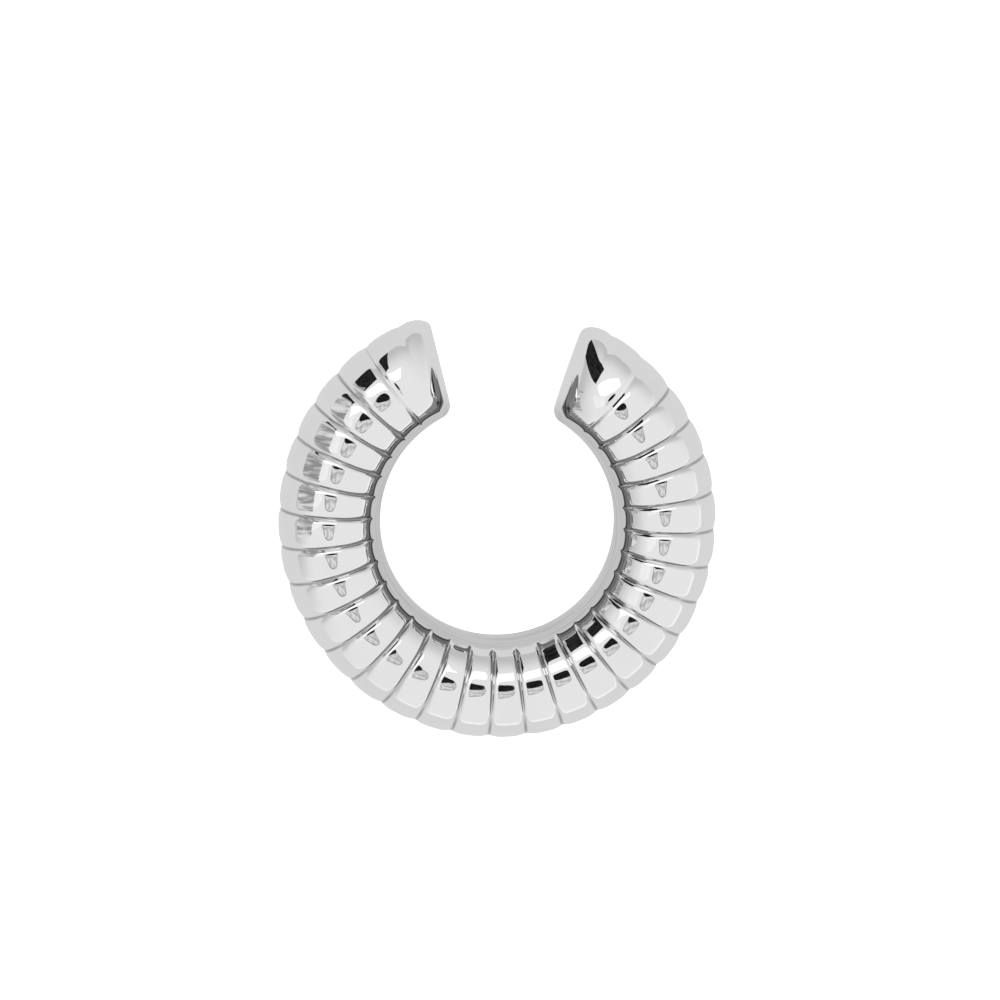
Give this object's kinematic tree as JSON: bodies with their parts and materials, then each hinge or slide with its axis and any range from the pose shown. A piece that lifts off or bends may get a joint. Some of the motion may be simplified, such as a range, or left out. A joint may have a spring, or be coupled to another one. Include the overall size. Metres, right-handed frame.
{
  "type": "ribbed ear cuff",
  "caption": "Open ring of polished silver with rounded ribs round its body, a smooth bore and two plain domed ends with a gap between them, pressed onto the rim of an ear.",
  "frame": {"origin": "middle of the underside of the cuff's box, with the cuff lying on its side; the ring's axis stands 0.33 mm towards +Y of it", "axes": "+Z along the ring's axis, upwards as it lies; +Y from the origin through the gap between the ends; +X to the right end seen from above"},
  "size_m": [0.014, 0.0134, 0.0037],
  "materials": {
    "silver": "mirror polish"
  },
  "bodies": {
    "root": {"ribbed_cuff": "silver"}
  },
  "joints": []
}
